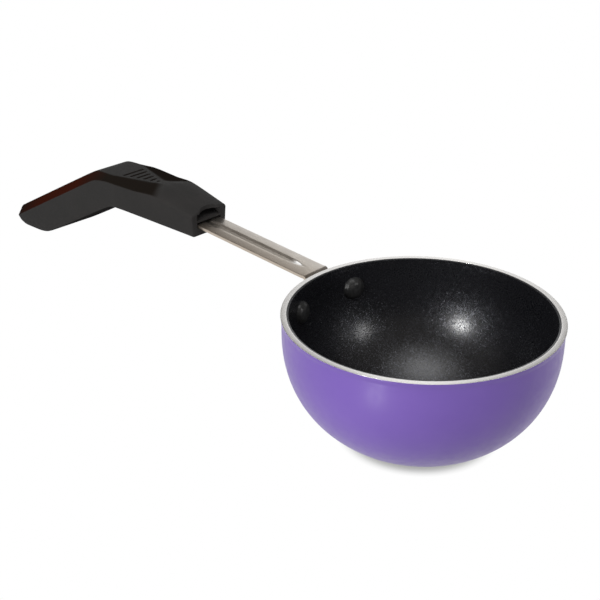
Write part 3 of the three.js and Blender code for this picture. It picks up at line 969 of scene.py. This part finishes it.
# The channel under the slot for the bead that the groove makes in the strap's lower face
bead = bmesh.new()
bead_radius = groove_radius + strap_thick + slot_gap
bead_z = bead_radius - groove_depth - strap_thick - slot_gap
bead_past = 3.0
bead_steps = 24
bead_side = math.asin(bead_z / bead_radius)
bead_sweep = math.pi - 2 * bead_side
bead_arc = [math.pi + bead_side + bead_sweep * step / bead_steps for step in range(bead_steps + 1)]
bead_ends = []
for run in (cut_from, groove_last + bead_past):
    bead_ends.append([
        bead.verts.new(Vector((run, bead_radius * math.cos(a), bead_z + bead_radius * math.sin(a))) * mm)
        for a in bead_arc
    ])
for j in range(bead_steps):
    bead.faces.new((bead_ends[0][j], bead_ends[0][j + 1], bead_ends[1][j + 1], bead_ends[1][j]))
bead.faces.new((bead_ends[0][0], bead_ends[1][0], bead_ends[1][-1], bead_ends[0][-1]))
bead.faces.new(bead_ends[0])
bead.faces.new(bead_ends[1])
bmesh.ops.recalc_face_normals(bead, faces=bead.faces)
bmesh.ops.transform(bead, matrix=strap_place, verts=bead.verts)
cut(grip, made("bead", bead))

# The scoop in the mouth's roof
scoop_radius = 9.0
scoop_out = 6.5
scoop_over = 9.0
scoop_sides = 72
scoop_z = strap_start.z + math.tan(strap_rise) * (mouth_x - strap_start.x) + web_high
scoop_place = Matrix.Translation(((mouth_x - scoop_out) * mm, 0, 0))
cut(grip, bar(scoop_radius, scoop_z, grip_top + scoop_over, scoop_place, scoop_sides))

# The grooves between the thumb rest's ribs, and the screw's recess and hole
rib_count = 6
rib_radius = 0.85
rib_deep = 0.75
rib_first = 1.9
rib_pitch = 3.88
rib_margin = 1.9
recess_radius = 3.7
recess_from = -22.0
recess_seat = -3.9
hole_from = -6.0
hole_to = 5.3
for i in range(rib_count):
    x = thumb_tip + rib_first + rib_pitch * i
    spot = Matrix.Translation(Vector((x, 0, top_at(x) + rib_radius - rib_deep)) * mm)
    half = flat_at(x) - rib_margin - rib_radius
    cut(grip, capsule(rib_radius, half, spot @ Matrix.Rotation(math.pi / 2, 4, "X")))
cut(grip, bar(recess_radius, recess_from, recess_seat, screw_place))
cut(grip, bar(screw_hole, hole_from, hole_to, screw_place))
smooth(grip, 30)

crease_fade = (-0.2, 0.1)
brow_fade = (0.9, 1.08)
rib_fade = (0.05, 0.2)
rib_inset = 1.0
under_fade = (0.1, 0.6)
tip_gap = 0.01
# Painted shade mask: 1 on the long bevels and in the grooves between the ribs, which get a darker colour
# without gloss
painted_shade = grip.data.attributes.new("painted_shade", "FLOAT", "POINT")
dull = grip.data.attributes.new("dull", "FLOAT", "POINT")
for vertex in grip.data.vertices:
    x, y, z = vertex.co.x / mm, abs(vertex.co.y) / mm, vertex.co.z / mm
    foot, edge, brow = grip_corners(min(max(x, mouth_x), grip_end - tip_gap))
    over_side = soft_step(z - edge[1], *crease_fade)
    under_flat = 1 - soft_step((edge[0] - y) / (edge[0] - brow[0]), *brow_fade)
    on_thumb_rest = (thumb_tip < x < thumb_wide) * (y < flat_at(x) - rib_inset)
    in_rib = soft_step(top_at(x) - z, *rib_fade) * on_thumb_rest
    painted_shade.data[vertex.index].value = max(over_side * under_flat * (1 - crown_at(x, y)), in_rib)
    dull.data[vertex.index].value = 1 - soft_step(z - foot[1], *under_fade)


def mixed(material, share, first, second):
    """Two shaders mixed, by the second one's share."""
    mix = node(material, "MixShader")
    for socket, source in zip(mix.inputs, (share, first, second)):
        link(material, source, socket)
    return mix.outputs["Shader"]


resin_tones = [(0.3, (0.031, 0.030, 0.029, 1)), (0.7, (0.036, 0.034, 0.033, 1))]
warm_from = 195.0
warm_to = 280.0
moulded_resin, shader = finish("moulded_resin")
where = place_of(moulded_resin)
graded(moulded_resin, grain(moulded_resin, where, 60.0), shader.inputs["Base Color"], resin_tones)
satin = grain(moulded_resin, where, 800.0)
graded(moulded_resin, satin, shader.inputs["Roughness"], [(0.3, 0.50), (0.7, 0.62)])
relief(moulded_resin, shader, grain(moulded_resin, where, 2600.0, 2.0), 0.00005, 0.4)
shader.inputs["Specular IOR Level"].default_value = 0.05
# The second shader is the painted shade on the bevels and rib grooves: darker than the resin, reddish brown
# along the rear arm, with no gloss
bevel_shader = node(moulded_resin, "BsdfPrincipled")
spread = node(moulded_resin, "SeparateXYZ")
link(moulded_resin, where, spread.inputs["Vector"])
rear = ranged(moulded_resin, spread.outputs["X"], warm_from * mm, warm_to * mm)
graded(moulded_resin, rear, bevel_shader.inputs["Base Color"], [
    (0.0, (0.014, 0.011, 0.009, 1)),
    (0.3, (0.040, 0.009, 0.005, 1)),
    (0.7, (0.040, 0.009, 0.005, 1)),
    (1.0, (0.014, 0.010, 0.008, 1)),
])
polish = grain(moulded_resin, where, 900.0)
graded(moulded_resin, polish, bevel_shader.inputs["Roughness"], [(0.3, 0.30), (0.7, 0.40)])
relief(moulded_resin, bevel_shader, grain(moulded_resin, where, 700.0, 2.0), 0.00003, 0.25)
bevel_shader.inputs["Specular IOR Level"].default_value = 0.0
mask = node(moulded_resin, "Attribute", attribute_name="painted_shade")
both = mixed(moulded_resin, mask.outputs["Fac"], shader.outputs["BSDF"], bevel_shader.outputs["BSDF"])
dull_shader = node(moulded_resin, "BsdfPrincipled")
graded(moulded_resin, grain(moulded_resin, where, 80.0), dull_shader.inputs["Base Color"], resin_tones)
dull_shader.inputs["Roughness"].default_value = 0.8
dull_shader.inputs["Specular IOR Level"].default_value = 0.0
below = node(moulded_resin, "Attribute", attribute_name="dull")
whole = mixed(moulded_resin, below.outputs["Fac"], both, dull_shader.outputs["BSDF"])
skin_end = moulded_resin.node_tree.nodes["Material Output"]
link(moulded_resin, whole, skin_end.inputs["Surface"])
dress(grip, moulded_resin)
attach(grip, "root")
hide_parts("grip")

# Grip screw
# A plain steel screw driven from below through the grip and the strap, sunk in a round recess.
# It keeps the grip on the strap's end.
screw_low = -5.9
screw_head = 1.9
head_flat = 2.6
head_half = 3.4
head_round = 0.6
screw_radius = 2.0
thread_root = 1.75
thread_count = 9
thread_first = 0.5
thread_pitch = 0.9
thread_flank = 0.3
point_low = 4.4
point_high = 5.0
point_radius = 1.4
screw_sides = 48
driver_half = 0.45
driver_deep = 0.9
driver_reach = 6.8
head_top = screw_low + screw_head
screw_outline = [(0, screw_low)]
head_corner = (head_half, screw_low)
screw_outline += rounded_corner((head_flat, screw_low), head_corner, (head_half, screw_low + head_round))
screw_outline += [(head_half, head_top), (screw_radius, head_top)]
for i in range(thread_count):
    thread = head_top + thread_first + i * thread_pitch
    screw_outline += [(screw_radius, thread), (thread_root, thread + thread_flank)]
    screw_outline += [(screw_radius, thread + 2 * thread_flank)]
screw_outline += [(screw_radius, point_low), (point_radius, point_high), (0, point_high)]
shape = turned(screw_outline, screw_sides)
bmesh.ops.transform(shape, matrix=screw_place, verts=shape.verts)
screw = made("grip_screw_set", shape)
cut(screw, block(
    (-driver_reach, -driver_half, screw_low - driver_deep),
    (driver_reach, driver_half, screw_low + driver_deep),
    screw_place,
))
smooth(screw)

screw_steel, shader = finish("screw_steel")
shader.inputs["Metallic"].default_value = 1.0
where = place_of(screw_steel)
graded(screw_steel, grain(screw_steel, where, 500.0), shader.inputs["Base Color"], [
    (0.3, (0.46, 0.45, 0.43, 1)),
    (0.7, (0.58, 0.57, 0.55, 1)),
])
graded(screw_steel, grain(screw_steel, where, 1600.0), shader.inputs["Roughness"], [(0.3, 0.3), (0.7, 0.45)])
dress(screw, screw_steel)
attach(screw, "root")
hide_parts("grip_screw")

# Floor
# A plain white table that runs out of the picture on all sides. It keeps the pan's soft shadow,
# and it isn't seen from below.
floor_half = 4.0
shadow_reach = 0.006
shape = bmesh.new()
bmesh.ops.create_grid(shape, x_segments=8, y_segments=8, size=floor_half)
floor = made("table", shape)


def combined(material, operation, first, second):
    """Two values of a material, made one."""
    step = node(material, "Math", operation=operation)
    link(material, first, step.inputs[0])
    link(material, second, step.inputs[1])
    return step.outputs["Value"]


white_table = bpy.data.materials.new("white_table")
white_table.use_nodes = True
white_table.node_tree.nodes.clear()
end = node(white_table, "OutputMaterial")
plain = node(white_table, "BsdfDiffuse", Color=(0.9, 0.9, 0.9, 1))
glow = node(white_table, "Emission")
shade = node(white_table, "AmbientOcclusion", Distance=shadow_reach, samples=24)
graded(white_table, shade.outputs["AO"], glow.inputs["Color"], [(0.15, 0.4), (0.4, 0.85), (0.6, 1.0)])
path = node(white_table, "LightPath")
seen = combined(white_table, "MAXIMUM", path.outputs["Is Camera Ray"], path.outputs["Is Glossy Ray"])
seen_through = combined(white_table, "MAXIMUM", seen, path.outputs["Is Transmission Ray"])
both = mixed(white_table, seen_through, plain.outputs["BSDF"], glow.outputs["Emission"])
clear = node(white_table, "BsdfTransparent")
faces = node(white_table, "NewGeometry")
one_sided = mixed(white_table, faces.outputs["Backfacing"], both, clear.outputs["BSDF"])
link(white_table, one_sided, end.inputs["Surface"])
dress(floor, white_table)
floor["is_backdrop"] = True

# Light
# A white room that gloss mirrors dimly, apart from its far wall and a narrow white strip. Small soft
# lamps stand at the left and the right, two wide ones hang overhead and a weak one glows by the table.
# The lamps light the pan alone, so that the table keeps only the room's soft shadow.
room_level = 0.43
backdrop = (0.602, -0.799, 0.0)
dim_bearings = (-0.3, 0.3)
dim_levels = (0.22, 0.12)
strip_bearings = (0.986, 0.9992)
strip_heights = (0.95, 0.62)
far_heights = (0.42, 0.22)
far_bearings = (0.2, 0.7)
room = bpy.data.worlds.new("white_room")
bpy.context.scene.world = room
room.use_nodes = True
room.node_tree.nodes.clear()
end = node(room, "OutputWorld")
seen_room = node(room, "Background", Color=(1, 1, 1, 1), Strength=1.0)
lit_room = node(room, "Background", Color=(1, 1, 1, 1), Strength=room_level)
dark_room = node(room, "Background", Color=(1, 0.94, 0.88, 1))
where = node(room, "TexCoord")
level = node(room, "VectorMath", operation="MULTIPLY")
level.inputs[1].default_value = (1, 1, 0)
link(room, where.outputs["Generated"], level.inputs[0])
bearing = node(room, "VectorMath", operation="NORMALIZE")
link(room, level.outputs["Vector"], bearing.inputs[0])
towards = node(room, "VectorMath", operation="DOT_PRODUCT")
towards.inputs[1].default_value = backdrop
link(room, bearing.outputs["Vector"], towards.inputs[0])
facing = ranged(room, towards.outputs["Value"], *strip_bearings, rise="SMOOTHSTEP")
dimmed = ranged(room, towards.outputs["Value"], *dim_bearings, *dim_levels)
link(room, dimmed, dark_room.inputs["Strength"])
spread = node(room, "SeparateXYZ")
link(room, where.outputs["Generated"], spread.inputs["Vector"])
under_ceiling = ranged(room, spread.outputs["Z"], *strip_heights, rise="SMOOTHSTEP")
white_strip = combined(room, "MULTIPLY", facing, under_ceiling)
horizon = ranged(room, spread.outputs["Z"], *far_heights, rise="SMOOTHSTEP")
behind = ranged(room, towards.outputs["Value"], *far_bearings, rise="SMOOTHSTEP")
far_wall = combined(room, "MULTIPLY", horizon, behind)
white_all = combined(room, "MAXIMUM", white_strip, far_wall)
mirrored = mixed(room, white_all, dark_room.outputs["Background"], seen_room.outputs["Background"])
path = node(room, "LightPath")
inside = mixed(room, path.outputs["Is Glossy Ray"], lit_room.outputs["Background"], mirrored)
seen = combined(room, "MAXIMUM", path.outputs["Is Camera Ray"], path.outputs["Is Transmission Ray"])
whole_room = mixed(room, seen, inside, seen_room.outputs["Background"])
link(room, whole_room, end.inputs["Surface"])

lit_pieces = bpy.data.collections.new("lit_pieces")
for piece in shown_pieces():
    lit_pieces.objects.link(piece)
lamp_centre = Vector((0.025, -0.03, 0.03))


def lamp(name, turn, height, away, size, power):
    """A soft round lamp that points at the bowl.

    Its bearing and height are in degrees, its distance and width in metres and its power in watts.
    """
    turn, height = math.radians(turn), math.radians(height)
    towards = Vector((
        math.cos(turn) * math.cos(height), math.sin(turn) * math.cos(height), math.sin(height)
    ))
    light = bpy.data.lights.new(name, "AREA")
    light.shape = "DISK"
    light.size = size
    light.energy = power
    stand = bpy.data.objects.new(name, light)
    stand.location = lamp_centre + towards * away
    stand.rotation_mode = "QUATERNION"
    stand.rotation_quaternion = towards.to_track_quat("Z", "Y")
    stand.visible_camera = False
    stand.light_linking.receiver_collection = lit_pieces
    bpy.context.scene.collection.objects.link(stand)


lamp("left_lamp", 91.0, 18.5, 0.7, 0.12, 2.1)
lamp("right_lamp", -174.0, 22.0, 0.7, 0.13, 0.44)
lamp("upper_lamp", 115.0, 76.0, 0.9, 0.4, 1.1)
lamp("upper_cloud", 115.0, 76.0, 0.9, 0.9, 1.7)
lamp("table_glow", 108.4, -5.8, 0.159, 0.010, 0.010)

# Camera
# It stands in front of the pan at its left and looks down on it from above the rim,
# so that the grip lies at the upper left of the picture.
eye = bpy.data.cameras.new("eye")
eye.lens = 72.0
eye.sensor_width = 36.0
eye.clip_start = 0.01
eye.clip_end = 20.0
camera = bpy.data.objects.new("eye", eye)
camera.location = (-0.2732, 0.3641, 0.28349)
camera.rotation_mode = "QUATERNION"
camera.rotation_quaternion = Vector((0.6182, -0.6537, -0.4366)).to_track_quat("-Z", "Y")
bpy.context.scene.collection.objects.link(camera)
bpy.context.scene.camera = camera
bpy.context.scene.view_settings.view_transform = "Standard"
